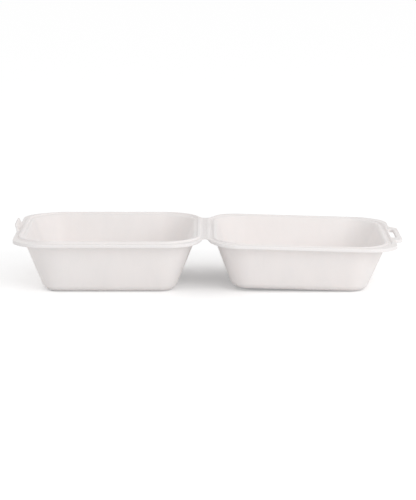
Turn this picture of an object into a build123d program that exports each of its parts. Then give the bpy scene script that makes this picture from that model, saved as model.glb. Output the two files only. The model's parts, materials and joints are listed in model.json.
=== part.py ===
from build123d import *
from math import asin, atan2, cos, degrees, hypot, radians, sin, tan
import os

# A hinged foam food container, thermoformed from one sheet and opened flat.
# Millimetres, +Z up. The fold runs along Y. The base lies at -X and stands on the floor, z = 0.
# The lid lies at +X. It is shallower than the base, so it hangs from the fold until its front foot
# touches the floor. The origin is on the floor, midway between the two front ends.
# Each half is drawn with u running from the fold to the front edge, and w up from its own floor.

# Size of each half
half_length = 130.0  # fold to front edge
half_width = 130.0  # along the fold
base_depth = 36.5  # floor to rim face
lid_depth = 33.5

# The foam sheet where the mould leaves it thickest and where it draws it thinner
rim_thickness = 2.4
wall_thickness = 1.6
floor_thickness = 2.0

# The tub of each half
rim_overhang = 7.0  # rim edge to the outside of the wall, under the rim
wall_draft = 22.0  # degrees from vertical
mouth_corner_radius = 24.0  # in plan, outside the wall, under the rim
foot_radius = 7.5  # from wall to floor, outside
lip_radius = 1.8  # from rim face to inner wall
under_rim_bevel = 0.8  # the sheet is thicker in the bend under the rim

# The shallow panel pushed into each floor, so that the tub stands on a ring
panel_rise = 1.2
panel_inset = 13.0  # from the sharp corner of wall and floor
panel_draft = 45.0
panel_corner_radius = 7.0

# The trimmed outline
front_corner_radius = 22.0
notch_depth = 26.5  # of the V at each end of the fold, before its bottom is rounded
notch_slope = 66.0  # degrees between its sides and the front edge's normal
notch_shoulder_radius = 18.0
notch_root_radius = 3.0

# The fold, crushed thin so that it bends
fold_gap = 0.3  # between the halves
fold_pin_rise = 0.2  # the turning axis above the rim faces
fold_web = 0.6
fold_flat = 1.5  # half the width of the thin web
fold_ramp = 2.0  # from the web to full thickness

# The bead on the base's rim, where the foam swells, and the groove pressed into the lid's rim for it
bead_height = 1.2
bead_width = 2.6
bead_offset = 2.7  # centreline, outside the wall under the rim
bead_draft = 25.0
bead_clearance = 0.3

# The lock: a tongue at the front of the base snaps through a slot in the lid's tab
tongue_lean = 70.0  # degrees from the rim face
tongue_thickness = 1.2
tongue_length = 5.6
tongue_root_width = 32.0
tongue_tip_width = 26.0
tongue_corner_radius = 3.0
tongue_setback = 0.9  # front edge to the middle of the tongue's root
tongue_seat = 1.5  # how far its root runs into the rim
tongue_root_radius = 0.6
slot_clearance = 0.3
slot_corner_radius = 0.6
tab_overhang = 5.5  # front edge to the end of the tab
tab_root_width = 56.0
tab_tip_width = 44.0
tab_corner_radius = 4.0
tab_root_radius = 3.0

# Room by which a cutter runs past what it cuts, and how near a corner or edge lies to where it is sought
overrun = 5.0
nearness = 0.05

tab_reach = half_length + tab_overhang
draft_run = tan(radians(wall_draft))  # sideways for each millimetre of height
wall_across = wall_thickness / cos(radians(wall_draft))
tub_centre = half_length / 2


def plan(offset):
    """The tub's rounded outline, moved out by offset from where the wall meets the rim."""
    length = half_length - 2 * rim_overhang + 2 * offset
    width = half_width - 2 * rim_overhang + 2 * offset
    return Pos(tub_centre, 0, 0) * RectangleRounded(length, width, mouth_corner_radius + offset)


def outer_offset(depth, height):
    """How far the outside of the wall stands from its place under the rim, at this height."""
    return (height - (depth - rim_thickness)) * draft_run


def frustum(offset, height, rise, draft):
    """A block with the tub's outline that narrows upwards by its draft."""
    return Pos(0, 0, height) * extrude(plan(offset), rise, taper=draft)


def panel(depth, height):
    """The block that a floor panel adds above a floor or takes from below it."""
    corner_offset = outer_offset(depth, 0) - panel_inset
    length = half_length - 2 * rim_overhang + 2 * corner_offset
    width = half_width - 2 * rim_overhang + 2 * corner_offset
    outline = Pos(tub_centre, 0, height) * RectangleRounded(length, width, panel_corner_radius)
    return extrude(outline, panel_rise, taper=panel_draft)


def ring(width, height, rise, draft):
    """A bead that follows the rim: its foot is this wide, and both its sides lean in by the draft."""
    outside = frustum(bead_offset + width / 2, height, rise, draft)
    inside = frustum(bead_offset - width / 2, height, rise, -draft)
    return outside - inside


def trimmed_blank():
    """The outline of the sheet opened flat, with a V at each end of the fold."""
    sheet = Rectangle(2 * half_length, half_width)
    sheet = fillet(sheet.vertices(), front_corner_radius)
    shoulder = notch_depth / tan(radians(notch_slope))
    past = (notch_depth + overrun) / tan(radians(notch_slope))
    root = half_width / 2 - notch_depth
    outside = half_width / 2 + overrun
    notch = make_face(Polyline((0, root), (past, outside), (-past, outside), close=True))
    sheet -= notch
    sheet -= mirror(notch, about=Plane.XZ)
    shoulders = [v for v in sheet.vertices() if abs(abs(v.X) - shoulder) < nearness]
    sheet = fillet(shoulders, notch_shoulder_radius)
    roots = [v for v in sheet.vertices() if abs(v.X) < nearness]
    return fillet(roots, notch_root_radius)


def half_blank():
    """One half of the trimmed sheet, up to its edge at the fold."""
    keep = Pos(fold_gap / 2, 0, 0) * Rectangle(
        half_length, half_width, align=(Align.MIN, Align.CENTER)
    )
    return trimmed_blank() & keep


def lid_blank():
    """The lid's half of the sheet with its thumb tab, whose corners are all rounded."""
    root = tab_root_width / 2
    tip = tab_tip_width / 2
    inside = half_length - rim_overhang / 2
    corners = ((inside, -root), (half_length, -root), (tab_reach, -tip))
    far_corners = tuple((u, -v) for u, v in reversed(corners))
    sheet = half_blank() + make_face(Polyline(*corners, *far_corners, close=True))
    roots = [
        v
        for v in sheet.vertices()
        if abs(v.X - half_length) < nearness and abs(abs(v.Y) - root) < nearness
    ]
    sheet = fillet(roots, tab_root_radius)
    return fillet(sheet.vertices().sort_by(Axis.X)[-2:], tab_corner_radius)


def shell(depth, blank):
    """A tub and its rim with even walls, with the floor panel pressed in."""
    foot_offset = outer_offset(depth, 0)
    tub = extrude(plan(foot_offset), depth - rim_thickness, taper=-wall_draft)
    tub = fillet(tub.faces().sort_by(Axis.Z)[0].edges(), foot_radius)
    rim = Pos(0, 0, depth - rim_thickness) * extrude(blank, rim_thickness)
    body = tub + rim
    under_rim = body.faces().filter_by(Plane.XY).filter_by_position(
        Axis.Z, depth - rim_thickness - nearness, depth - rim_thickness + nearness
    )[0]
    body = chamfer(under_rim.inner_wires()[0].edges(), under_rim_bevel)

    inside_offset = outer_offset(depth, floor_thickness) - wall_across
    cavity = frustum(inside_offset, floor_thickness, depth - floor_thickness, -wall_draft)
    cavity = fillet(cavity.faces().sort_by(Axis.Z)[0].edges(), foot_radius - wall_thickness)
    body -= cavity
    mouth = body.faces().sort_by(Axis.Z)[-1].inner_wires()[0].edges()
    body = fillet(mouth, lip_radius)

    body += panel(depth, floor_thickness)
    body -= panel(depth, 0)
    return body


def fold_cut(depth):
    """What the crushing takes from under the rim beside the fold."""
    web = depth - fold_web
    under = depth - rim_thickness
    profile = make_face(
        Polyline(
            (-overrun, web),
            (fold_flat, web),
            (fold_flat + fold_ramp, under),
            (fold_flat + fold_ramp, under - under_rim_bevel),
            (-overrun, under - under_rim_bevel),
            close=True,
        )
    )
    return extrude(Plane.XZ * profile, half_width / 2, both=True)


def tongue():
    """The base's lock tongue, turned up from the front of the rim and narrower at its tip."""
    lean = radians(tongue_lean)
    middle = half_length - tongue_setback
    across = tongue_thickness / sin(lean)
    crease = middle - across / 2
    seat = base_depth - tongue_seat
    back = crease - 2 * tongue_root_radius
    tip_u = tongue_length * cos(lean)
    tip_w = base_depth + tongue_length * sin(lean)
    seat_u = crease + across - tongue_seat / tan(lean)
    section = make_face(
        Polyline(
            (back, base_depth),
            (crease, base_depth),
            (crease + tip_u, tip_w),
            (crease + across + tip_u, tip_w),
            (seat_u, seat),
            (back, seat),
            close=True,
        )
    )
    bend = [v for v in section.vertices() if Vector(v.X, v.Y) == Vector(crease, base_depth)]
    section = fillet(bend, tongue_root_radius)
    plate = extrude(Plane.XZ * section, tongue_root_width / 2, both=True)

    root = tongue_root_width / 2
    tip = tongue_tip_width / 2
    outline = make_face(
        Polyline(
            (-root, -overrun),
            (-root, 0),
            (-tip, tongue_length),
            (tip, tongue_length),
            (root, 0),
            (root, -overrun),
            close=True,
        )
    )
    outline = fillet(outline.vertices().sort_by(Axis.Y)[-2:], tongue_corner_radius)
    along = Plane(origin=(middle, 0, base_depth), x_dir=(0, 1, 0), z_dir=(sin(lean), 0, -cos(lean)))
    return plate & extrude(along * outline, overrun, both=True)


def tongue_reach():
    """How far the tongue's tip stands from the fold."""
    lean = radians(tongue_lean)
    across = tongue_thickness / sin(lean)
    return half_length - tongue_setback + across / 2 + tongue_length * cos(lean)


def slot():
    """The hole in the lid's tab, as wide as the tongue needs while the lid swings down over it."""
    lean = radians(tongue_lean)
    height = tongue_length * sin(lean)
    swing = height**2 / (2 * half_length)
    inner = half_length - tongue_setback - tongue_thickness / 2 / sin(lean) - slot_clearance
    outer = tongue_reach() + swing + slot_clearance
    width = tongue_root_width + 2 * slot_clearance
    hole = Pos((inner + outer) / 2, 0, lid_depth - rim_thickness - overrun) * RectangleRounded(
        outer - inner, width, slot_corner_radius
    )
    return extrude(hole, rim_thickness + 2 * overrun)


def make_base():
    """The base in its own place, with its front at +u."""
    body = shell(base_depth, half_blank())
    body -= fold_cut(base_depth)
    body += ring(bead_width, base_depth, bead_height, bead_draft)
    body += tongue()
    return body


def make_lid():
    """The lid before it hangs down, coplanar with the base's rim."""
    body = shell(lid_depth, lid_blank())
    body -= fold_cut(lid_depth)
    groove_depth = bead_height - 2 * fold_pin_rise + bead_clearance
    groove = ring(bead_width + 2 * bead_clearance, 0, groove_depth, bead_draft)
    body -= Pos(0, 0, lid_depth) * mirror(groove, about=Plane.XY)
    body -= slot()
    return body


def droop():
    """Degrees by which the lid turns down until the round of its front foot meets the floor."""
    tangent = foot_radius * tan(radians(90 - wall_draft) / 2)
    corner = half_length - rim_overhang + outer_offset(lid_depth, 0)
    along = corner - tangent
    below = lid_depth + fold_pin_rise - foot_radius
    drop = base_depth + fold_pin_rise - foot_radius
    return degrees(asin(drop / hypot(along, below)) - atan2(below, along))


axis_height = base_depth + fold_pin_rise
lid_droop = droop()
fold_x = (tongue_reach() - tab_reach * cos(radians(lid_droop))) / 2

base = Pos(fold_x, 0, 0) * mirror(make_base(), about=Plane.YZ)
lid = Pos(0, 0, base_depth - lid_depth) * make_lid()
lid = lid.rotate(Axis((0, 0, axis_height), (0, 1, 0)), lid_droop)
lid = Pos(fold_x, 0, 0) * lid

os.makedirs("parts", exist_ok=True)
export_step(base, "parts/base.step")
export_step(lid, "parts/lid.step")
print("fold at x", round(fold_x, 4), "z", round(axis_height, 4), "lid droop", round(lid_droop, 4))
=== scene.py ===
"""The looks of a hinged foam food container, opened flat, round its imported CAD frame.

Each half is one closed skin of foam, worked out as a grid. Its rows are rings round the tub: the inner
floor, the wall, the rim's face, the trimmed edge, and the same again underneath. A crushed strip of the same
sheet joins the two. In a half's own directions u runs from the fold to the front edge, v along the fold, and
w up from its floor. Offsets run outwards along a column, from the wall's outside just under the rim.
"""

import json
from math import atan2, cos, pi, radians, sin, tan

import bmesh
import bpy
import numpy as np
from bpy.props import FloatProperty, PointerProperty, StringProperty
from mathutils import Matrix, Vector


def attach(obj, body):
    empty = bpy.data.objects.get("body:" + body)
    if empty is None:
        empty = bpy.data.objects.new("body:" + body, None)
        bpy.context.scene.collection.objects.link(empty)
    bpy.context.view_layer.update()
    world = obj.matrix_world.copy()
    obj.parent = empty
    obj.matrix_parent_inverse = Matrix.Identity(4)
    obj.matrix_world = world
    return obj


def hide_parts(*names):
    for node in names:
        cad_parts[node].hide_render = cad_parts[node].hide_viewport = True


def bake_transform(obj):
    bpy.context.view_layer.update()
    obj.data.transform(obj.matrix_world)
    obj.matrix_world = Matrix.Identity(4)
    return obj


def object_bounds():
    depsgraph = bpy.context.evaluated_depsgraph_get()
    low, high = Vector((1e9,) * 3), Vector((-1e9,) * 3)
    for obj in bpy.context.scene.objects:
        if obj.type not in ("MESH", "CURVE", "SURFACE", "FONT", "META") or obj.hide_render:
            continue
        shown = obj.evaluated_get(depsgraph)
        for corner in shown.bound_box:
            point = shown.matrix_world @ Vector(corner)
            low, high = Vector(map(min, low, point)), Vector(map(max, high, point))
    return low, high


bl_info = {
    "name": "Foam clamshell container",
    "version": (1, 0, 0),
    "blender": (4, 5, 0),
    "location": "3D View > Sidebar > Foam box",
    "description": "Builds the skins, the fold, the foam and the studio of a hinged foam food container",
    "category": "Add Mesh",
}

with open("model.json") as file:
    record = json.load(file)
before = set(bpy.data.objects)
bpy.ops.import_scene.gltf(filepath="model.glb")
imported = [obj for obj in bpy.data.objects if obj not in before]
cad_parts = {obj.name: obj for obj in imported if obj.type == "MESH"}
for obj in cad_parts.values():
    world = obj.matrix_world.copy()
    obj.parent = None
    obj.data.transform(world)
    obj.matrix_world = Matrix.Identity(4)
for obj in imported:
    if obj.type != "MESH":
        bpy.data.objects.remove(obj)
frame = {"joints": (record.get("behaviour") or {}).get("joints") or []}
CAD_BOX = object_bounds()
HINGE = frame["joints"][0]
FOLD_X, _, AXIS_Z = HINGE["pos_m"]
DROOP = radians(HINGE["range_deg"][1] - 180.0)
MM = 0.001

# Tolerances: merged points, equal lengths, no length, straight directions, parallel lines and sharp edges
MERGE, CLOSE, TINY = 0.001 * MM, 0.0001 * MM, 1e-9
ASLANT, PARALLEL, SHARP = 1e-6, 1e-15, radians(50)

# Material indices: a piece's own foam, and the edge that the die cuts
FOAM, CUT = 0, 1

# The bevel under the rim, the floor panel's ramp about its outline, how much wider than their sizes the bead
# and groove start, a flank's share of their half width, and the crease's depth underneath, as a share
UNDER_BEVEL, PANEL_RAMP = 1.1 * MM, (-1.6 * MM, 0.4 * MM)
BEAD_EASE, GROOVE_EASE, FLANK, UNDER_CREASE = 1.08, 1.06, 0.5, 0.5

# The tongue's bend and rounded edges, the length at which it has its full form, the height in which its front
# leaves the rim, half the flat of its tip, and the room beside it and before it
TONGUE_BEND, TONGUE_ROUND, TONGUE_FIRM, TONGUE_FOOT = 0.9 * MM, 0.35 * MM, 1.6 * MM, 0.6 * MM
TIP_FLAT, TONGUE_MARGIN, TONGUE_FRONT = 11.2 * MM, 2 * MM, 0.02 * MM

# Where the grid's rows and columns stand: shares of the way, steps from the slot's sides, and angles in a round
PANEL_SHARES = np.array([0.06, 0.3, 0.6, 0.85])
BEAD_SHARES = np.array([0.17, 0.34, 0.5, 0.64, 0.76, 0.88, 1.0])
SLOT_SHARES = np.array([0.0, 0.12, 0.5, 0.88, 1.0])
SLOT_BEFORE, SLOT_BEYOND, SLOT_BESIDE = 0.3 * MM, 0.9 * MM, np.array([0.0, 0.5, 1.4, 2.6]) * MM
BACK_SHARES, FRONT_SHARES = np.array([0.35, 0.7, 1.0]), np.array([1.0, 0.66, 0.33, 0.0])
UNDER_BASE = [0.95, 0.86, 0.77, 0.68, 0.6, 0.545, 0.3, 0.15]
UNDER_OUT, UNDER_IN = [0.95, 0.86], [0.22, 0.1]
ROUND_STEPS = np.radians([30, 60, 90])

# How many rows there are in the panel's ramp, the floor, the foot's arc inside and outside, the wall, the lip,
# the bevel and the tongue's bend, and how many points across and along the crushed strip
RAMP_ROWS, FLOOR_ROWS, FOOT_INSIDE, FOOT_OUTSIDE, WALL_ROWS, LIP_ROWS = 7, 3, 9, 10, 9, 8
BEVEL_ROWS, TURN_ROWS, STRIP_ACROSS, STRIP_ALONG = 6, 5, 25, 49

# How many columns there are, with those at both ends, on half the tongue's tip, on its side and past the slot,
# in a front corner, and in one by the fold, before and after the fold's end
ON_TIP, ON_SIDE, PAST_SLOT, IN_CORNER, TO_FOLD_END, PAST_FOLD_END = 9, 15, 11, 30, 8, 26

# Width and height of the photograph, in pixels
PICTURE = 416, 500


# Sizes and looks that a user would change


def property_maker(kind, **traits):
    """A function that makes properties of one kind from their names, descriptions and defaults."""
    return lambda name, text, default: kind(name=name, description=text, default=default, **traits)


Length, Angle = property_maker(FloatProperty, unit="LENGTH"), property_maker(FloatProperty, subtype="ANGLE")
Number, Colour = property_maker(FloatProperty), property_maker(StringProperty)


class TubSizes(bpy.types.PropertyGroup):
    """The pressed tub of each half."""

    half: Length("Half size", "Each half, fold to front edge and along the fold", 130 * MM)
    base_depth: Length("Base depth", "Floor to rim face of the base", 36.5 * MM)
    lid_depth: Length("Lid depth", "Floor to rim face of the lid", 33.5 * MM)
    wall: Length("Wall", "Foam thickness where the tub is drawn", 1.6 * MM)
    floor: Length("Floor", "Foam thickness of the floor", 2.0 * MM)
    draft: Angle("Draft", "Lean of the walls", radians(22))
    corner: Length("Corner", "Radius of the tub's corner in plan, under the rim", 24 * MM)
    foot: Length("Foot", "Radius from wall to floor, outside", 7.5 * MM)
    lip: Length("Lip", "Radius from rim face to inner wall", 1.8 * MM)
    panel_rise: Length("Panel rise", "Height of the panel pushed into the floor", 1.2 * MM)
    panel_inset: Length("Panel inset", "Corner of wall and floor to the panel", 13 * MM)
    panel_corner: Length("Panel corner", "Radius of the panel's corner in plan", 7 * MM)


class RimSizes(bpy.types.PropertyGroup):
    """The flat rim, its trimmed outline, and the bead and groove that close it."""

    thickness: Length("Thickness", "Foam thickness of the rim", 2.4 * MM)
    overhang: Length("Overhang", "Rim edge to the outside of the wall", 7 * MM)
    front_corner: Length("Front corner", "Radius of the rim's front corners", 22 * MM)
    notch_depth: Length("Notch depth", "The V at each end of the fold, to its sharp point", 26.5 * MM)
    notch_slope: Angle("Notch slope", "Lean of the V's sides", radians(66))
    notch_shoulder: Length("Notch shoulder", "Radius where the V meets the rim's side", 18 * MM)
    notch_root: Length("Notch root", "Radius at the bottom of the V", 3 * MM)
    edge_round: Length("Edge round", "How far the die draws the trimmed edge over", 0.4 * MM)
    bead_offset: Length("Bead offset", "Middle of the bead, outside the wall", 2.7 * MM)
    bead_width: Length("Bead width", "Foot of the base's bead", 2.6 * MM)
    bead_height: Length("Bead height", "Height of the base's bead", 1.2 * MM)
    groove_width: Length("Groove width", "Mouth of the lid's groove", 3.2 * MM)
    groove_depth: Length("Groove depth", "Depth of the lid's groove", 1.1 * MM)


class LockSizes(bpy.types.PropertyGroup):
    """The base's turned-up tongue, and the slot and thumb tab of the lid."""

    tongue_length: Length("Tongue", "Length of the tongue", 5.6 * MM)
    tongue_lean: Angle("Tongue lean", "Angle of the tongue from the rim face", radians(70))
    tongue_thickness: Length("Tongue thickness", "Foam thickness of the tongue", 1.2 * MM)
    tongue_root: Length("Tongue root", "Width of the tongue at the rim", 32 * MM)
    tongue_tip: Length("Tongue tip", "Width of the tongue at its tip", 26 * MM)
    tongue_corner: Length("Tongue corner", "Radius of the tongue's corners", 3 * MM)
    tongue_setback: Length("Tongue setback", "Front edge to the middle of the tongue's root", 0.9 * MM)
    slot_clearance: Length("Slot clearance", "Room between tongue and slot", 0.3 * MM)
    slot_round: Length("Slot round", "How far the slot's edges are drawn over", 0.3 * MM)
    slot_corner: Length("Slot corner", "Radius of the slot's corners in plan", 0.6 * MM)
    tab_overhang: Length("Tab", "Front edge to the end of the thumb tab", 5.5 * MM)
    tab_root: Length("Tab root", "Width of the tab at the front edge", 56 * MM)
    tab_tip: Length("Tab tip", "Width of the tab at its end", 44 * MM)
    tab_corner: Length("Tab corner", "Radius of the tab's corners", 4 * MM)
    tab_blend: Length("Tab blend", "Radius where the tab grows out of the front edge", 3 * MM)


class FoldSizes(bpy.types.PropertyGroup):
    """The sheet crushed thin along the fold."""

    web: Length("Web", "Thickness of the crushed foam", 0.6 * MM)
    flat: Length("Half width", "Half the width of the crushed strip", 1.5 * MM)
    ramp: Length("Ramp", "From the crushed strip to full thickness, underneath", 2 * MM)
    crease: Length("Crease", "Depth of the crease down the middle of the strip", 0.12 * MM)


class FoamLooks(bpy.types.PropertyGroup):
    """Colours and surface of the foam."""

    skin: Colour("Skin", "Colour of the foam's skin, sRGB hex", "#F1EEED")
    skin_dense: Colour("Dense skin", "Colour where the cells lie closer, sRGB hex", "#EAE7E6")
    skin_warm: Colour("Warm skin", "Colour of the warmer patches, sRGB hex", "#F2ECEA")
    # The crushed grey is the fold's own denser tone, and the creases' hollows take the most of it, as painted
    # shade there.
    crushed: Colour("Crushed", "Colour of the crushed fold, sRGB hex", "#E0D8D6")
    # The cut colour is painted into the pits of the opened cells, as their shade.
    cut: Colour("Cut edge", "Colour of the cells laid open by the die, sRGB hex", "#ECE8E7")
    cell: Length("Cell", "Size of the foam's cells as drawn", 1.0 * MM)
    ripple: Length("Ripple", "Width of the ripples that the mould leaves in the skin", 6 * MM)


class StudioLooks(bpy.types.PropertyGroup):
    """Floor, lamps and camera."""

    elevation: Angle("Elevation", "Camera above the horizon", radians(10.5))
    distance: Length("Distance", "Camera to the middle of the container", 1.45)
    width: Length("Width in view", "What the picture's width spans at the container", 0.290)
    key: Number("Key", "Power of the key lamp in watts", 4.85)
    sky: Number("Sky", "Strength of the white room's light", 0.795)
    glow: Number("Floor glow", "How much the floor is lifted towards white in the picture", 0.25)


# Meshes


def polyline(corners, radii, step=radians(3)):
    """A closed outline through the corners, each rounded by its radius.

    A corner P between unit directions a (in) and b (out), which turn by the angle t, becomes an arc from
    P - a r tan(t/2) to P + b r tan(t/2) about the point r away from both sides.
    """
    corners = np.array(corners, float)
    rows = []
    for before, here, after, r in zip(np.roll(corners, 1, 0), corners, np.roll(corners, -1, 0), radii):
        if r == 0:
            rows.append(here[None])
            continue
        a = (here - before) / np.linalg.norm(here - before)
        b = (after - here) / np.linalg.norm(after - here)
        turn = atan2(a[0] * b[1] - a[1] * b[0], a @ b)
        side = np.sign(turn)
        centre = here - a * r * tan(abs(turn) / 2) + side * r * np.array([-a[1], a[0]])
        first = atan2(-side * a[0], side * a[1])
        angles = first + np.linspace(0, turn, max(3, int(abs(turn) / step) + 2))
        rows.append(centre + r * np.stack([np.cos(angles), np.sin(angles)], 1))
    return np.concatenate(rows)


def reach(start, direction, outline):
    """How far each start lies from a closed outline along its direction, and the cosine to the edge's normal.

    For start p, unit direction d and a side from a to b = a + e, the ray meets it at t = (a - p) x e / d x e,
    where s = (a - p) x d / d x e lies between 0 and 1. The nearest t ahead is kept.
    """
    a = outline[None]
    e = np.roll(outline, -1, 0)[None] - a
    gap = a - start[:, None]
    d = direction[:, None]
    across = d[..., 0] * e[..., 1] - d[..., 1] * e[..., 0]
    across = np.where(np.abs(across) < PARALLEL, PARALLEL, across)
    t = (gap[..., 0] * e[..., 1] - gap[..., 1] * e[..., 0]) / across
    s = (gap[..., 0] * d[..., 1] - gap[..., 1] * d[..., 0]) / across
    t = np.where((s >= -TINY) & (s <= 1 + TINY) & (t > 0), t, np.inf)
    nearest = t.argmin(1)
    edge = e[0, nearest]
    edge = edge / np.linalg.norm(edge, axis=1, keepdims=True)
    facing = np.abs(direction[:, 0] * edge[:, 1] - direction[:, 1] * edge[:, 0])
    return t[np.arange(len(start)), nearest], facing


def smooth(t):
    """t squared times (3 - 2t), held between 0 and 1."""
    t = np.clip(t, 0, 1)
    return t * t * (3 - 2 * t)


def arc(offset, height, radius, first, last, count):
    """Points (offset, height) on an arc, its angles measured from straight out."""
    a = np.linspace(first, last, count)
    return np.stack([offset + radius * np.cos(a), height + radius * np.sin(a)], 1)


def line(a, b, count):
    """Points between a and b, without either."""
    t = np.linspace(0, 1, count + 2)[1:-1, None]
    return np.array(a) * (1 - t) + np.array(b) * t


def swung(x, v, z, angle):
    """Points at x and z from the hinge's axis and v along it, turned down about it by the angle."""
    across = FOLD_X + x * np.cos(angle) + z * np.sin(angle)
    return np.stack([across, v, AXIS_Z - x * np.sin(angle) + z * np.cos(angle)], -1)


def new_object(name, points, faces, materials, kinds):
    """A mesh object at the origin, smooth but for sharp edges, with a material index for each face.

    Points that no face uses are left out, such as those inside the slot. Points that coincide are merged, as
    where the rim's rounded edge shrinks to nothing at the fold.
    """
    used = np.zeros(len(points), bool)
    used[np.concatenate([block.ravel() for block in faces])] = True
    place = np.cumsum(used) - 1
    mesh = bpy.data.meshes.new(name)
    mesh.from_pydata(points[used].tolist(), [], [f for block in faces for f in place[block].tolist()])
    mesh.polygons.foreach_set("use_smooth", np.ones(len(mesh.polygons), bool))
    mesh.polygons.foreach_set("material_index", np.concatenate(kinds).astype(np.int32))
    merged = bmesh.new()
    merged.from_mesh(mesh)
    bmesh.ops.remove_doubles(merged, verts=merged.verts, dist=MERGE)
    merged.to_mesh(mesh)
    merged.free()
    for material in materials:
        mesh.materials.append(material)
    mesh.set_sharp_from_angle(angle=SHARP)
    mesh.update()
    if mesh.validate():
        raise RuntimeError(f"{name}: its mesh had faults")
    obj = bpy.data.objects.new(name, mesh)
    bpy.context.scene.collection.objects.link(obj)
    return obj


class Sizes:
    """The scene's sizes for one half, with those that follow from them."""

    def __init__(self, scene, lid):
        self.tub, self.rim = scene.foam_tub, scene.foam_rim
        self.lock, self.fold = scene.foam_lock, scene.foam_fold
        self.lid = lid
        self.find_tub()
        self.find_lock()

    def find_tub(self):
        """The tub's walls, panel and lip. The hinge's axis lies above the base's rim face by the rise."""
        tub, rim = self.tub, self.rim
        self.depth = tub.lid_depth if self.lid else tub.base_depth
        self.under = self.depth - rim.thickness
        self.rise = AXIS_Z - tub.base_depth
        self.centre = np.array([tub.half / 2, 0.0])
        self.straight = tub.half / 2 - rim.overhang - tub.corner
        self.run = tan(tub.draft)
        self.across = tub.wall / cos(tub.draft)
        self.tangent = tan(pi / 4 - tub.draft / 2)
        self.foot_offset = -self.under * self.run
        self.lip_offset = rim.thickness * self.run - self.across + tub.lip * self.tangent
        floor = self.straight + tub.corner + self.foot_offset
        self.panel_straight = floor - tub.panel_inset - tub.panel_corner

    def find_lock(self):
        """The tongue's root, the slot that it passes, and the rows of the lid's face about that slot.

        At the height h and the distance L from the fold, the tongue's end swings out by h squared / 2L.
        """
        half, lock = self.tub.half, self.lock
        out, up = cos(lock.tongue_lean), sin(lock.tongue_lean)
        self.tongue_across = lock.tongue_thickness / up
        self.tongue_back = half - lock.tongue_setback - self.tongue_across / 2
        self.tongue_edge = self.offset(self.tongue_back) + self.tongue_across + TONGUE_FRONT
        furthest = self.tongue_back + self.tongue_across + lock.tongue_length * out
        swing = (lock.tongue_length * up) ** 2 / (2 * half)
        self.slot_inner = self.tongue_back - lock.slot_clearance
        self.slot_outer = furthest + swing + lock.slot_clearance
        self.slot_half = lock.tongue_root / 2 + lock.slot_clearance
        self.slot_open = self.slot_half + lock.slot_round
        near, far = self.slot_inner - lock.slot_round, self.slot_outer + lock.slot_round
        rows = near + SLOT_SHARES * (far - near)
        self.slot_rows = self.offset(np.array([near - SLOT_BEFORE, *rows, far + SLOT_BEYOND]))
        self.face_end = self.offset(half + lock.tab_overhang) - self.rim.edge_round

    def offset(self, u):
        """The offset that belongs to u on the columns that run to the front edge."""
        return u - self.centre[0] - self.straight - self.tub.corner

    def outline(self):
        """The trimmed sheet, this half with its own front and the other half plain."""
        half, wide = self.tub.half, self.tub.half / 2
        rim, lock = self.rim, self.lock
        root = wide - rim.notch_depth
        shoulder = rim.notch_depth / tan(rim.notch_slope)
        front = [(half, -wide, rim.front_corner)]
        if self.lid:
            front.append((half, -lock.tab_root / 2, lock.tab_blend))
            front.append((half + lock.tab_overhang, -lock.tab_tip / 2, lock.tab_corner))
        right = [(0, -root, rim.notch_root), (shoulder, -wide, rim.notch_shoulder)] + front
        left = [(x, -y, r) for x, y, r in reversed(right)]
        far = [(-shoulder, wide, 0), (-wide, wide, 0), (-wide, -wide, 0), (-shoulder, -wide, 0)]
        path = np.array(right + left + far)
        return polyline(path[:, :2], path[:, 2])

    def fold_end(self, u):
        """How far along the fold the sheet reaches at u, inside the notch's round root.

        That is the v of the root's centre less the square root of its radius squared - u squared.
        """
        root = self.rim.notch_root
        middle = self.tub.half / 2 - self.rim.notch_depth + root / cos(self.rim.notch_slope)
        return middle - np.sqrt(root**2 - np.square(u))

    def placed(self, u, v, w):
        """Points in the row frame: the base turned end for end, the lid hung from the fold by its droop."""
        x, angle = (u, DROOP) if self.lid else (-u, 0.0)
        return swung(x, v, w - self.depth - self.rise, angle)

    def thickness(self, u):
        """The rim's thickness at u: the crushed web by the fold, then a straight ramp to the full sheet."""
        fold, full = self.fold, self.rim.thickness
        return np.clip(fold.web + (u - fold.flat) / fold.ramp * (full - fold.web), fold.web, full)


def tub_columns(size):
    """Where each column round the tub starts and which way it runs out.

    Round from the front, a side's columns start at set places along its straight part and run straight out. A
    corner's start at its centre and fan out through a quarter turn. By the fold, one runs to the fold's end.
    """
    beside = size.slot_open + SLOT_BESIDE
    side = np.concatenate(
        [
            np.linspace(0, TIP_FLAT, ON_TIP),
            np.linspace(TIP_FLAT, size.lock.tongue_root / 2, ON_SIDE)[1:],
            beside[:-1],
            np.linspace(beside[-1], size.straight, PAST_SLOT),
        ]
    )
    side = np.concatenate([-side[:0:-1], side])
    end_u = size.centre[0] - size.straight - size.fold.flat
    end_v = size.fold_end(size.fold.flat) - size.straight
    bend = atan2(end_v, end_u)
    plain = np.linspace(0, pi / 2, IN_CORNER)[1:-1]
    after = np.linspace(bend, pi / 2, PAST_FOLD_END)[1:-1]
    from_fold = np.concatenate([np.linspace(0, bend, TO_FOLD_END)[1:], after])
    quarters = [plain, pi / 2 - from_fold[::-1], from_fold, plain]
    start, way = [], []
    for k, quarter in enumerate(quarters):
        d = np.array([cos(k * pi / 2), sin(k * pi / 2)]).round(9)
        t = np.array([-d[1], d[0]])
        start.append(size.centre + size.straight * d + side[:, None] * t)
        way.append(np.repeat(d[None], len(side), 0))
        angle = quarter + k * pi / 2
        corner = size.centre + size.straight * (d + t)
        start.append(np.repeat(corner[None], len(angle), 0))
        way.append(np.stack([np.cos(angle), np.sin(angle)], 1))
    return np.concatenate(start), np.concatenate(way)


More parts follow.
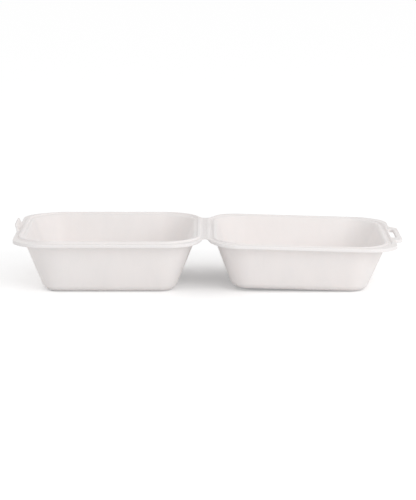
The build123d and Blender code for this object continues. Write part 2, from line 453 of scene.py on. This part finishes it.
class Columns:
    """The columns of one half's grid, and the offset of the sheet's edge on each.

    The edge is the trimmed outline or the fold, whichever comes first. Where a column meets the outline with
    the cosine c to its normal, taken as 0.5 at least, the die draws it over by the edge's rounding / c, and by
    nothing at the fold. About the base's tongue that grows by t squared times (3 - 2t), up to all the room
    before the tongue.
    """

    def __init__(self, size):
        self.start, self.way = tub_columns(size)
        self.count = len(self.start)
        self.corner = size.tub.corner
        self.on_front = self.way[:, 0] > 1 - ASLANT
        edge, facing = reach(self.start, self.way, size.outline())
        ahead = (size.fold.flat - self.start[:, 0]) / np.minimum(self.way[:, 0], -ASLANT)
        to_fold = np.where(self.way[:, 0] < -ASLANT, ahead, np.inf)
        self.at_fold = to_fold <= edge + CLOSE
        self.edge = np.where(self.at_fold, to_fold, edge) - self.corner
        facing = np.clip(np.where(self.at_fold, 1.0, facing), 0.5, 1.0)
        self.drawn = np.where(self.at_fold, 0.0, size.rim.edge_round) / facing
        if not size.lid:
            beside = size.lock.tongue_root / 2 + TONGUE_MARGIN - np.abs(self.start[:, 1])
            near = smooth(beside / TONGUE_MARGIN) * self.on_front
            self.drawn += (size.offset(size.tub.half) - size.tongue_edge - self.drawn) * near

    def u(self, offset):
        """The u of a point at an offset on each column."""
        return self.start[:, 0] + self.way[:, 0] * (self.corner + offset)

    def spread(self, values):
        """One value for each row, repeated on every column."""
        return np.repeat(values[:, None], self.count, 1)


def rings(size, pairs):
    """Rings of the tub's wall at (offset, height) pairs: (straight, radius, height)."""
    straight = np.full(len(pairs), size.straight)
    return np.column_stack([straight, size.tub.corner + pairs[:, 0], pairs[:, 1]])


def panel_rows(size, level):
    """Rings of the floor's raised panel, from near its middle outwards: (straight, radius, height).

    The ramp from the panel down to the floor follows t squared times (3 - 2t).
    """
    tub = size.tub
    ramp = np.linspace(*PANEL_RAMP, RAMP_ROWS)
    height = level + tub.panel_rise * (1 - smooth((ramp - ramp[0]) / (ramp[-1] - ramp[0])))
    edge = np.column_stack([np.full(len(ramp), size.panel_straight), tub.panel_corner + ramp, height])
    shrink = np.column_stack([PANEL_SHARES, PANEL_SHARES, np.ones(len(PANEL_SHARES))])
    return np.concatenate([edge[0] * shrink, edge])


def inside_rows(size):
    """Rings of the tub's inside: its panel, its floor, the foot's arc, the wall and the lip's arc."""
    tub = size.tub
    radius = tub.foot - tub.wall
    floor_offset = (tub.floor - size.under) * size.run - size.across
    foot_offset = floor_offset - radius * size.tangent
    foot = arc(foot_offset, tub.floor + radius, radius, -pi / 2, -tub.draft, FOOT_INSIDE)
    lip = arc(size.lip_offset, size.depth - tub.lip, tub.lip, pi - tub.draft, pi / 2, LIP_ROWS)
    wall = rings(size, np.concatenate([foot, line(foot[-1], lip[0], WALL_ROWS), lip]))
    panel = panel_rows(size, tub.floor)
    return np.concatenate([panel, line(panel[-1], wall[0], FLOOR_ROWS), wall])


def outside_rows(size):
    """Rings of the tub's outside: the bevel under the rim, the wall, the foot's arc, the floor and its panel.

    The bevel is (1 - t) squared A + 2t(1 - t) C + t squared B, from A under the rim to B on the wall, about
    the corner C between them.
    """
    tub = size.tub
    corner = np.array([0.0, size.under])
    on_rim = corner + [UNDER_BEVEL, 0]
    on_wall = corner - UNDER_BEVEL * np.array([sin(tub.draft), cos(tub.draft)])
    t = np.linspace(0, 1, BEVEL_ROWS)[:, None]
    bevel = (1 - t) ** 2 * on_rim + 2 * t * (1 - t) * corner + t**2 * on_wall
    foot_offset = size.foot_offset - tub.foot * size.tangent
    foot = arc(foot_offset, tub.foot, tub.foot, -tub.draft, -pi / 2, FOOT_OUTSIDE)
    wall = rings(size, np.concatenate([bevel, line(bevel[-1], foot[0], WALL_ROWS), foot]))
    panel = panel_rows(size, 0.0)[::-1]
    return np.concatenate([wall, line(wall[-1], panel[0], FLOOR_ROWS), panel])


def bead_rows(size):
    """The rim's face from the lip to the far side of the base's bead or the lid's groove: (offset, height).

    It rises by its height times t squared times (3 - 2t), with t from 0 at a side to 1 at the flank's end.
    """
    rim = size.rim
    if size.lid:
        half_width, tall = rim.groove_width / 2 * GROOVE_EASE, -rim.groove_depth
    else:
        half_width, tall = rim.bead_width / 2 * BEAD_EASE, rim.bead_height
    across = np.concatenate([-BEAD_SHARES[::-1], [0.0], BEAD_SHARES])
    offset = rim.bead_offset + across * half_width
    height = size.depth + tall * smooth((1 - np.abs(across)) / FLANK)
    approach = line((size.lip_offset, size.depth), (offset[0], size.depth), 1)
    return np.concatenate([approach, np.column_stack([offset, height])])


def lid_face(size, columns, begin):
    """Offsets and heights of the lid's face from the groove outwards.

    On the columns that run to the front its rows pass the slot. On the others they lie at the same shares of
    the way to the edge.
    """
    share = (size.slot_rows - begin) / (size.face_end - begin)
    offset = begin + share[:, None] * (columns.edge - columns.drawn - begin)
    return offset, np.full_like(offset, size.depth)


def tongue_height(size, v):
    """Length of the tongue at v: full between its rounded corners, then down its slanted side to nothing.

    In a corner of radius r from v = f, it is full - r + the square root of (r squared - (v - f) squared).
    """
    lock = size.lock
    length, r = lock.tongue_length, lock.tongue_corner
    root, tip = lock.tongue_root / 2, lock.tongue_tip / 2
    slant = atan2(root - tip, length)
    turn = r * tan((pi / 2 - slant) / 2)
    flat, corner_end = tip - turn, tip + turn * sin(slant)
    v = np.abs(v)
    side = (root - v) / (root - tip) * length
    bent = length - r + np.sqrt(np.clip(r**2 - np.square(v - flat), 0, None))
    return np.clip(np.where(v <= flat, length, np.where(v <= corner_end, bent, side)), 0, length)


def tongue_rows(size, length, firm):
    """Rows up the tongue's back, over its tip and down its front: u and w from the back of its root.

    A point lies at a (cos lean, sin lean) + b (sin lean, -cos lean), a along the tongue and b through it.
    Both edges of the tip are quarter rounds. The front's foot slides out to where that face meets the rim.
    """
    lock = size.lock
    out, up, thick = cos(lock.tongue_lean), sin(lock.tongue_lean), lock.tongue_thickness
    cut = TONGUE_ROUND * firm
    side = length - cut
    bend = TONGUE_BEND * tan(lock.tongue_lean / 2) * firm
    angle = ROUND_STEPS[:, None]
    back = bend + BACK_SHARES[:, None] * np.clip(side - bend, 0, None)
    tip, inset = side + cut * np.sin(angle), cut * (1 - np.cos(angle))
    front = FRONT_SHARES[:, None] * side
    slide = thick * out * out / up * (1 - front / np.maximum(side, TINY))
    sunk = thick * out * (1 - np.minimum(front / TONGUE_FOOT, 1))
    along = np.concatenate([back, tip, tip[::-1], front])
    through = np.concatenate([0 * back, inset, thick - inset[::-1], thick + 0 * front])
    u, w = along * out + through * up, along * up - through * out
    u[-len(front) :] += slide
    w[-len(front) :] += sunk
    return u, w


def base_face(size, columns, begin):
    """Offsets and heights of the base's face from the bead outwards, with the tongue raised out of it.

    Each row has a plain offset on the flat face, at the same share of the way to the edge on all columns. It
    moves from there by firm, t squared times (3 - 2t) of the tongue's length: round the bend at the root, at
    TONGUE_BEND times (sin, 1 - cos) of the angle, then over the tongue.
    """
    length = np.where(columns.on_front, tongue_height(size, columns.start[:, 1]), 0.0)
    firm = smooth(length / TONGUE_FIRM)
    tangent = TONGUE_BEND * tan(size.lock.tongue_lean / 2)
    angle = np.linspace(0, size.lock.tongue_lean, TURN_ROWS)
    over_u, over_w = tongue_rows(size, length, firm)
    made_u = np.concatenate([columns.spread(TONGUE_BEND * np.sin(angle) - tangent), over_u])
    made_w = np.concatenate([columns.spread(TONGUE_BEND * (1 - np.cos(angle))), over_w])
    before = np.linspace(-tangent, -0.1 * tangent, TURN_ROWS)
    plain = np.concatenate([before, np.linspace(0, size.tongue_across, len(over_u))])[:, None]
    share = (plain + size.offset(size.tongue_back) - begin) / (size.tongue_edge - begin)
    offset = begin + share * (columns.edge - columns.drawn - begin) + (made_u - plain) * firm
    offset = np.concatenate([(begin + offset[:1]) / 2, offset])
    height = np.concatenate([np.full((1, columns.count), size.depth), size.depth + made_w * firm])
    return offset, height


def edge_rows(size, columns):
    """Offsets and heights of the trimmed edge, drawn over in a quarter round at its top and at its bottom.

    At the angle a the round stands in from the edge by its width times 1 - sin a, and down from the face by
    its height times 1 - cos a.
    """
    angle = np.concatenate([[0.0], ROUND_STEPS])[:, None]
    inset = columns.drawn * (1 - np.sin(angle))
    drop = np.minimum(columns.drawn, size.rim.edge_round) * (1 - np.cos(angle))
    bottom = size.depth - size.thickness(columns.u(columns.edge))
    offset = columns.edge - np.concatenate([inset, inset[::-1]])
    return offset, np.concatenate([size.depth - drop, bottom + drop[::-1]])


def under_rows(size, columns):
    """Offsets and heights of the rim's underside, from the trimmed edge in to the bevel.

    They lie at the same shares of the way on all columns. On the lid, some of them pass the slot.
    """
    share = np.array(UNDER_BASE)
    if size.lid:
        slot = (size.slot_rows[::-1] - UNDER_BEVEL) / (size.face_end - UNDER_BEVEL)
        share = np.concatenate([UNDER_OUT, slot, UNDER_IN])
    offset = UNDER_BEVEL + share[:, None] * (columns.edge - columns.drawn - UNDER_BEVEL)
    return offset, size.depth - size.thickness(columns.u(offset))


def half_skin(scene, lid):
    """Points, faces and face kinds of one half.

    A point in row i and column j stands at centre + (start_j - centre) straight_i / straight + way_j
    radius_ij, at the height w_ij. Rows run from the middle of the inner floor over the rim's edge and back to
    the middle of the outer floor. Both ends close in a fan.
    """
    size = Sizes(scene, lid)
    columns = Columns(size)
    count = columns.count
    inside, bead, outside = inside_rows(size), bead_rows(size), outside_rows(size)
    face = (lid_face if lid else base_face)(size, columns, bead[-1, 0])
    edge, under = edge_rows(size, columns), under_rows(size, columns)
    offset = np.concatenate([columns.spread(bead[:, 0]), face[0], edge[0], under[0]])
    height = np.concatenate([columns.spread(bead[:, 1]), face[1], edge[1], under[1]])
    straight = np.concatenate([inside[:, 0], np.full(len(offset), size.straight), outside[:, 0]])
    radius = [columns.spread(inside[:, 1]), offset + size.tub.corner, columns.spread(outside[:, 1])]
    height = [columns.spread(inside[:, 2]), height, columns.spread(outside[:, 2])]
    middle = (columns.start - size.centre)[None] * (straight / size.straight)[:, None, None]
    plan = size.centre + middle + columns.way[None] * np.concatenate(radius)[..., None]
    points = np.concatenate([plan, np.concatenate(height)[..., None]], -1)

    rows = len(points)
    index = np.arange(rows * count).reshape(rows, count)
    beside = np.roll(index, -1, 1)
    quads = np.stack([index[:-1], index[1:], beside[1:], beside[:-1]], -1)
    keep = np.ones(quads.shape[:2], bool)
    kind = np.full(quads.shape[:2], FOAM)
    face_row = len(inside) + len(bead)
    edge_row = face_row + len(face[0])
    under_row = edge_row + len(edge[0])
    kind[edge_row : under_row - 1, ~columns.at_fold] = CUT
    points = points.reshape(-1, 3)
    faces, kinds = [], []
    if lid:
        slot_rows = face_row + 1, under_row + len(UNDER_OUT) + 1
        wall, faces, kinds = slot_wall(size, columns, index, points, keep, *slot_rows)
        points = np.concatenate([points, wall])
    else:
        tip = face_row + 1 + TURN_ROWS + len(BACK_SHARES)
        on_tongue = columns.on_front & (np.abs(columns.start[:, 1]) < size.lock.tongue_root / 2)
        kind[tip : tip + 2 * len(ROUND_STEPS), on_tongue] = CUT
    rise = size.tub.panel_rise
    inner, outer = len(points), len(points) + 1
    points = np.concatenate([points, [[*size.centre, size.tub.floor + rise], [*size.centre, rise]]])
    inner_fan = np.stack([np.full(count, inner), index[0], beside[0]], -1)
    outer_fan = np.stack([np.full(count, outer), beside[-1], index[-1]], -1)
    faces = [quads[keep], *faces, inner_fan, outer_fan]
    kinds = [kind[keep], *kinds, np.full(count, FOAM), np.full(count, FOAM)]
    if not lid:
        faces = [f[:, ::-1] for f in faces]
    return size.placed(*points.T), faces, kinds


def slot_wall(size, columns, index, points, keep, top_row, bottom_row):
    """Opens the slot in the grid and lines it.

    The rim's face opens between two of its rows and columns, and so does the underside. The points of both
    loops move to the slot's rounded corners: held inside the core, the slot less its corner radius, and out
    from there by the radius. The wall between the loops draws in by the slot's rounding over a quarter
    circle, runs straight down, and draws out again.
    """
    lock, r = size.lock, size.lock.slot_round
    rows = len(SLOT_SHARES)
    v = columns.start[:, 1]
    across = np.flatnonzero(columns.on_front & (np.abs(v) <= size.slot_open + CLOSE))
    across = (across[v[across].argmin()] + np.arange(len(across))) % columns.count
    for begin in (top_row, bottom_row):
        keep[begin : begin + rows - 1, across[:-1]] = False

    def loop(block):
        """The block's rim, once round from its first corner."""
        return np.concatenate([block[0, :-1], block[:-1, -1], block[-1, :0:-1], block[:0:-1, 0]])

    upper = loop(index[top_row : top_row + rows][:, across])
    lower = loop(index[bottom_row : bottom_row + rows][::-1][:, across])
    middle = np.array([(size.slot_inner + size.slot_outer) / 2, 0.0])
    core = np.array([(size.slot_outer - size.slot_inner) / 2, size.slot_half]) - lock.slot_corner
    held = np.clip(points[upper, :2] - middle, -core, core)
    away = points[upper, :2] - middle - held
    away /= np.linalg.norm(away, axis=1, keepdims=True)
    inward = middle + held + lock.slot_corner * away
    points[upper, :2] = points[lower, :2] = inward + r * away

    def drawn_in(ring, side):
        """Rings from a face inwards: at the angle a, sin a of the way in and r (1 - cos a) off the face."""
        plans = [ring[:, :2] + (inward - ring[:, :2]) * sin(a) for a in ROUND_STEPS]
        heights = [ring[:, 2] + side * r * (1 - cos(a)) for a in ROUND_STEPS]
        return [np.column_stack(pair) for pair in zip(plans, heights)]

    wall = drawn_in(points[upper], -1) + drawn_in(points[lower], 1)[::-1]
    shape = len(wall), len(upper)
    ids = np.concatenate([[upper], len(points) + np.arange(shape[0] * shape[1]).reshape(shape), [lower]])
    beside = np.roll(ids, -1, 1)
    quads = np.stack([ids[:-1], beside[:-1], beside[1:], ids[1:]], -1).reshape(-1, 4)
    return np.concatenate(wall), [quads[:, ::-1]], [np.full(len(quads), CUT)]


def fold_strip(scene):
    """Points, faces and kinds of the crushed strip.

    A closed tube of section round the fold: along its face from the base to the lid and back underneath. The
    face dips by the crease times (1 - t squared) squared, with t from -1 to 1. The section bends down by the
    lid's droop times s squared times (3 - 2s), with s from 0 to 1.
    """
    size = Sizes(scene, False)
    fold = size.fold
    t = np.linspace(-1, 1, STRIP_ACROSS)
    dip = fold.crease * (1 - t**2) ** 2
    x = np.concatenate([t, t[::-1]]) * fold.flat
    z = -size.rise - np.concatenate([dip, fold.web - UNDER_CREASE * dip[::-1]])
    v = np.linspace(-1, 1, STRIP_ALONG)[:, None] * size.fold_end(x)
    x, z = np.broadcast_to(x, v.shape), np.broadcast_to(z, v.shape)
    points = swung(x, v, z, DROOP * smooth((x / fold.flat + 1) / 2))
    rows, count = v.shape
    index = np.arange(rows * count).reshape(rows, count)
    beside = np.roll(index, -1, 1)
    quads = np.stack([index[:-1], beside[:-1], beside[1:], index[1:]], -1).reshape(-1, 4)
    caps = []
    for row, turned in ((0, True), (rows - 1, False)):
        face, below = index[row, : count // 2], index[row, count // 2 :][::-1]
        cap = np.stack([face[:-1], face[1:], below[1:], below[:-1]], -1)
        caps.append(cap if turned else cap[:, ::-1])
    kinds = [np.full(len(quads), FOAM), *[np.full(len(cap), CUT) for cap in caps]]
    return points.reshape(-1, 3), [quads[:, ::-1], *caps], kinds


# Materials


# Widths of the skin's denser and warmer areas, of the fold's creases and of the cells that the die lays open
MOTTLE, PATCH, CREASES, CUT_CELLS = 14 * MM, 70 * MM, 0.9 * MM, 0.6 * MM

# Heights of the ripples, the grain, the creases and the opened cells
RIPPLE_HEIGHT, GRAIN_HEIGHT, CREASE_HEIGHT, CUT_HEIGHT = 0.25 * MM, 0.06 * MM, 0.12 * MM, 0.12 * MM

# A pattern's scale down the walls, where the mould draws it out, and along the fold, where the creases run
DRAWN_OUT, ALONG_FOLD = 0.22, 0.12

# Light goes about a millimetre into the foam, red the furthest
DEEP = {
    "IOR": 1.5,
    "Subsurface Weight": 0.12,
    "Subsurface Radius": (1.0, 0.92, 0.86),
    "Subsurface Scale": 1.0 * MM,
}


def linear(colour):
    """An sRGB hex colour as linear RGBA."""
    values = [int(colour[i : i + 2], 16) / 255 for i in (1, 3, 5)]
    return [v / 12.92 if v <= 0.04045 else ((v + 0.055) / 1.055) ** 2.4 for v in values] + [1.0]


def add(tree, kind, settings=None, inputs=None):
    """Adds a shader node with its settings, and sets or links its inputs."""
    node = tree.nodes.new("ShaderNode" + kind)
    for key, value in (settings or {}).items():
        setattr(node, key, value)
    for key, value in (inputs or {}).items():
        if isinstance(value, bpy.types.NodeSocket):
            tree.links.new(value, node.inputs[key])
        else:
            node.inputs[key].default_value = value
    return node


def new_material(name):
    """An empty node material and its tree."""
    material = bpy.data.materials.new(name)
    material.use_nodes = True
    material.node_tree.nodes.clear()
    return material, material.node_tree


def skin_foam(looks):
    """Polystyrene foam sheet, thermoformed: a closed skin over fine cells, matt, with a soft low sheen.

    The cells show as a faint grain, drawn about twice their real size so that they show at all. The mould
    leaves low ripples, and draws them out down the walls.
    """
    material, tree = new_material("thermoformed polystyrene foam")
    place = add(tree, "TexCoord").outputs["Object"]
    drawn = add(tree, "Mapping", inputs={"Vector": place, "Scale": (1, 1, DRAWN_OUT)}).outputs["Vector"]
    waves = {"Vector": drawn, "Scale": 1 / looks.ripple, "Detail": 2.0, "Roughness": 0.45}
    ripple = add(tree, "TexNoise", inputs=waves).outputs["Fac"]
    areas = {"Vector": drawn, "Scale": 1 / MOTTLE, "Detail": 3.0, "Roughness": 0.55}
    mottle = add(tree, "TexNoise", inputs=areas).outputs["Fac"]
    patch = add(tree, "TexNoise", inputs={"Vector": place, "Scale": 1 / PATCH, "Detail": 1.0}).outputs["Fac"]
    grains = {"Vector": place, "Scale": 1 / looks.cell, "Smoothness": 0.6}
    cells = add(tree, "TexVoronoi", {"feature": "SMOOTH_F1"}, grains).outputs["Distance"]
    tints = {"Factor": patch, "A": linear(looks.skin), "B": linear(looks.skin_warm)}
    warm = add(tree, "Mix", {"data_type": "RGBA"}, tints).outputs["Result"]
    dense = {"Value": mottle, "From Min": 0.38, "From Max": 0.72, "To Min": 0.0, "To Max": 0.4}
    share = add(tree, "MapRange", inputs=dense).outputs["Result"]
    tints = {"Factor": share, "A": warm, "B": linear(looks.skin_dense)}
    colour = add(tree, "Mix", {"data_type": "RGBA"}, tints).outputs["Result"]
    sheen = {"Value": mottle, "From Min": 0.3, "From Max": 0.7, "To Min": 0.5, "To Max": 0.64}
    matt = add(tree, "MapRange", inputs=sheen).outputs["Result"]
    low = {"Height": ripple, "Strength": 0.55, "Distance": RIPPLE_HEIGHT}
    low = add(tree, "Bump", inputs=low).outputs["Normal"]
    grain = {"Height": cells, "Strength": 0.35, "Distance": GRAIN_HEIGHT, "Normal": low}
    grain = add(tree, "Bump", inputs=grain).outputs["Normal"]
    surface = {"Base Color": colour, "Roughness": matt, "Specular IOR Level": 0.4, "Normal": grain}
    shader = add(tree, "BsdfPrincipled", inputs={**DEEP, **surface})
    add(tree, "OutputMaterial", inputs={"Surface": shader.outputs["BSDF"]})
    return material


def crushed_foam(looks):
    """The same foam crushed along the fold: its cells are closed up, so it is denser, greyer and creased."""
    material, tree = new_material("crushed foam fold")
    place = add(tree, "TexCoord").outputs["Object"]
    along = add(tree, "Mapping", inputs={"Vector": place, "Scale": (1, ALONG_FOLD, 1)}).outputs["Vector"]
    lines = {"Vector": along, "Scale": 1 / CREASES, "Detail": 3.0}
    creases = add(tree, "TexNoise", inputs=lines).outputs["Fac"]
    # The colour runs from the crushed grey in the creases' hollows to the skin's on their ridges: the fold's
    # own greyer tone, with painted shade in the hollows.
    tints = {"Factor": creases, "A": linear(looks.crushed), "B": linear(looks.skin)}
    colour = add(tree, "Mix", {"data_type": "RGBA"}, tints).outputs["Result"]
    bump = {"Height": creases, "Strength": 0.5, "Distance": CREASE_HEIGHT}
    surface = {
        "Base Color": colour,
        "Roughness": 0.48,
        "IOR": 1.55,
        "Specular IOR Level": 0.45,
        "Subsurface Weight": 0.15,
        "Subsurface Radius": (1.0, 0.9, 0.84),
        "Normal": add(tree, "Bump", inputs=bump).outputs["Normal"],
    }
    shader = add(tree, "BsdfPrincipled", inputs={**DEEP, **surface})
    add(tree, "OutputMaterial", inputs={"Surface": shader.outputs["BSDF"]})
    return material


def cut_foam(looks):
    """The edge left by the trimming die: cells cut open, so it is rough and has no sheen."""
    material, tree = new_material("die-cut foam edge")
    place = add(tree, "TexCoord").outputs["Object"]
    grains = {"Vector": place, "Scale": 1 / CUT_CELLS}
    cells = add(tree, "TexVoronoi", {"feature": "F1"}, grains).outputs["Distance"]
    # The opened cells' pits take the darker cut colour and their raised walls the skin's: painted shade in the
    # pits.
    tints = {"Factor": cells, "A": linear(looks.cut), "B": linear(looks.skin)}
    colour = add(tree, "Mix", {"data_type": "RGBA"}, tints).outputs["Result"]
    bump = {"Height": cells, "Strength": 0.6, "Distance": CUT_HEIGHT}
    bump = add(tree, "Bump", inputs=bump).outputs["Normal"]
    surface = {"Base Color": colour, "Roughness": 0.8, "Specular IOR Level": 0.25, "Normal": bump}
    shader = add(tree, "BsdfPrincipled", inputs={**DEEP, **surface})
    add(tree, "OutputMaterial", inputs={"Surface": shader.outputs["BSDF"]})
    return material


def foam_materials(scene):
    """The foam's three finishes, made once and shared."""
    made = bpy.data.materials
    looks = scene.foam_looks
    names = ("thermoformed polystyrene foam", "die-cut foam edge", "crushed foam fold")
    makers = (skin_foam, cut_foam, crushed_foam)
    return [made.get(name) or maker(looks) for name, maker in zip(names, makers)]


def in_sight(tree):
    """1 for light that the camera sees directly, mirrored or through something clear, and 0 for the rest."""
    path = add(tree, "LightPath").outputs
    share = path["Is Camera Ray"]
    for ray in ("Is Glossy Ray", "Is Transmission Ray"):
        share = add(tree, "Math", {"operation": "MAXIMUM"}, {0: share, 1: path[ray]}).outputs[0]
    return share


def floor_material(looks):
    """Seamless white studio paper, lifted towards white in the picture. It keeps the container's shadow."""
    material, tree = new_material("white studio paper")
    seen = in_sight(tree)
    lift = add(tree, "Math", {"operation": "MULTIPLY"}, {0: seen, 1: looks.glow}).outputs[0]
    paper = add(tree, "BsdfDiffuse", inputs={"Color": linear("#F7F7F7")})
    light = add(tree, "Emission", inputs={"Color": (1, 1, 1, 1), "Strength": lift})
    both = add(tree, "AddShader", inputs={0: paper.outputs[0], 1: light.outputs[0]})
    add(tree, "OutputMaterial", inputs={"Surface": both.outputs[0]})
    return material


def white_room(looks):
    """A world of even white light, dimmed except where the camera sees it."""
    world = bpy.data.worlds.new("white room")
    world.use_nodes = True
    tree = world.node_tree
    tree.nodes.clear()
    white = (1, 1, 1, 1)
    dim = add(tree, "Background", inputs={"Color": white, "Strength": looks.sky})
    full = add(tree, "Background", inputs={"Color": white, "Strength": 1.0})
    mix = add(tree, "MixShader", inputs={0: in_sight(tree), 1: dim.outputs[0], 2: full.outputs[0]})
    add(tree, "OutputWorld", inputs={"Surface": mix.outputs[0]})
    return world


# Operators


class FOAM_OT_base_shell(bpy.types.Operator):
    """Base tub with its rim, bead and lock tongue"""

    bl_idname = "foam.base_shell"
    bl_label = "Base shell"

    def execute(self, context):
        skin, cut, _ = foam_materials(context.scene)
        points, faces, kinds = half_skin(context.scene, False)
        obj = new_object("base_shell", points, faces, [skin, cut], kinds)
        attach(obj, "base")
        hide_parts("base")
        return {"FINISHED"}


class FOAM_OT_lid_shell(bpy.types.Operator):
    """Lid tub with its rim, groove, thumb tab and slot"""

    bl_idname = "foam.lid_shell"
    bl_label = "Lid shell"

    def execute(self, context):
        skin, cut, _ = foam_materials(context.scene)
        points, faces, kinds = half_skin(context.scene, True)
        obj = new_object("lid_shell", points, faces, [skin, cut], kinds)
        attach(obj, "lid")
        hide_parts("lid")
        return {"FINISHED"}


class FOAM_OT_living_hinge(bpy.types.Operator):
    """Crushed strip along the fold, bent to the lid's droop"""

    bl_idname = "foam.living_hinge"
    bl_label = "Living hinge"

    def execute(self, context):
        _, cut, crushed = foam_materials(context.scene)
        points, faces, kinds = fold_strip(context.scene)
        obj = new_object("living_hinge", points, faces, [crushed, cut], kinds)
        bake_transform(obj)
        return {"FINISHED"}


class FOAM_OT_studio(bpy.types.Operator):
    """White floor, soft lamps and the camera"""

    bl_idname = "foam.studio"
    bl_label = "Studio"

    # All in metres but the sensor, which is in millimetres: the floor's half width and how far it lies below
    # the feet, the lamp's sides and its place from the container's middle, and what the camera clips
    floor_half = 6.0
    floor_sunk = 0.05 * MM
    lamp_sides = 0.9, 0.7
    lamp_place = Vector((0.75, -0.95, 0.52))
    clip = 0.05, 50.0
    sensor = 36.0

    def execute(self, context):
        scene = context.scene
        looks = scene.foam_studio
        centre = (CAD_BOX[0] + CAD_BOX[1]) / 2
        corners = np.array([(-1, -1), (1, -1), (1, 1), (-1, 1)]) * self.floor_half
        points = np.column_stack([corners, np.full(4, -self.floor_sunk)])
        paper = floor_material(looks)
        floor = new_object("studio_floor", points, [np.arange(4)[None]], [paper], [np.zeros(1)])
        scene.world = white_room(looks)

        lamp = bpy.data.lights.new("key softbox", "AREA")
        lamp.shape = "RECTANGLE"
        lamp.size, lamp.size_y = self.lamp_sides
        lamp.energy = looks.key
        key = bpy.data.objects.new("key softbox", lamp)
        key.location = centre + self.lamp_place
        key.rotation_euler = (centre - key.location).to_track_quat("-Z", "Y").to_euler()
        scene.collection.objects.link(key)

        camera = bpy.data.cameras.new("camera")
        camera.sensor_width = self.sensor
        camera.clip_start, camera.clip_end = self.clip
        tall = looks.width * PICTURE[1] / PICTURE[0]
        camera.lens = self.sensor * looks.distance / tall
        eye = bpy.data.objects.new("camera", camera)
        back = Vector((0, -cos(looks.elevation), sin(looks.elevation)))
        eye.location = centre + back * looks.distance
        eye.rotation_euler = (-back).to_track_quat("-Z", "Y").to_euler()
        scene.collection.objects.link(eye)
        scene.camera = eye
        scene.view_settings.view_transform = "Standard"
        return {"FINISHED"}


class FOAM_PT_panel(bpy.types.Panel):
    """The container's sizes, looks and steps"""

    bl_idname = "FOAM_PT_panel"
    bl_label = "Foam box"
    bl_space_type = "VIEW_3D"
    bl_region_type = "UI"
    bl_category = "Foam box"

    def draw(self, context):
        for operator in OPERATORS:
            self.layout.operator(operator.bl_idname)
        for name in GROUPS:
            box = self.layout.box()
            group = getattr(context.scene, name)
            for key in group.bl_rna.properties.keys():
                if key not in ("rna_type", "name"):
                    box.prop(group, key)


GROUPS = {
    "foam_tub": TubSizes,
    "foam_rim": RimSizes,
    "foam_lock": LockSizes,
    "foam_fold": FoldSizes,
    "foam_looks": FoamLooks,
    "foam_studio": StudioLooks,
}
OPERATORS = (FOAM_OT_base_shell, FOAM_OT_lid_shell, FOAM_OT_living_hinge, FOAM_OT_studio)
CLASSES = (*GROUPS.values(), *OPERATORS, FOAM_PT_panel)


def register():
    """Registers the classes and gives the scene its groups of sizes and looks."""
    for cls in CLASSES:
        bpy.utils.register_class(cls)
    for name, group in GROUPS.items():
        setattr(bpy.types.Scene, name, PointerProperty(type=group))


def unregister():
    """Takes back what register did."""
    for name in GROUPS:
        delattr(bpy.types.Scene, name)
    for cls in reversed(CLASSES):
        bpy.utils.unregister_class(cls)


def main():
    """Builds the pieces and the stage in order."""
    register()
    bpy.ops.foam.base_shell()
    bpy.ops.foam.lid_shell()
    bpy.ops.foam.living_hinge()
    bpy.ops.foam.studio()


if __name__ == "__main__":
    main()
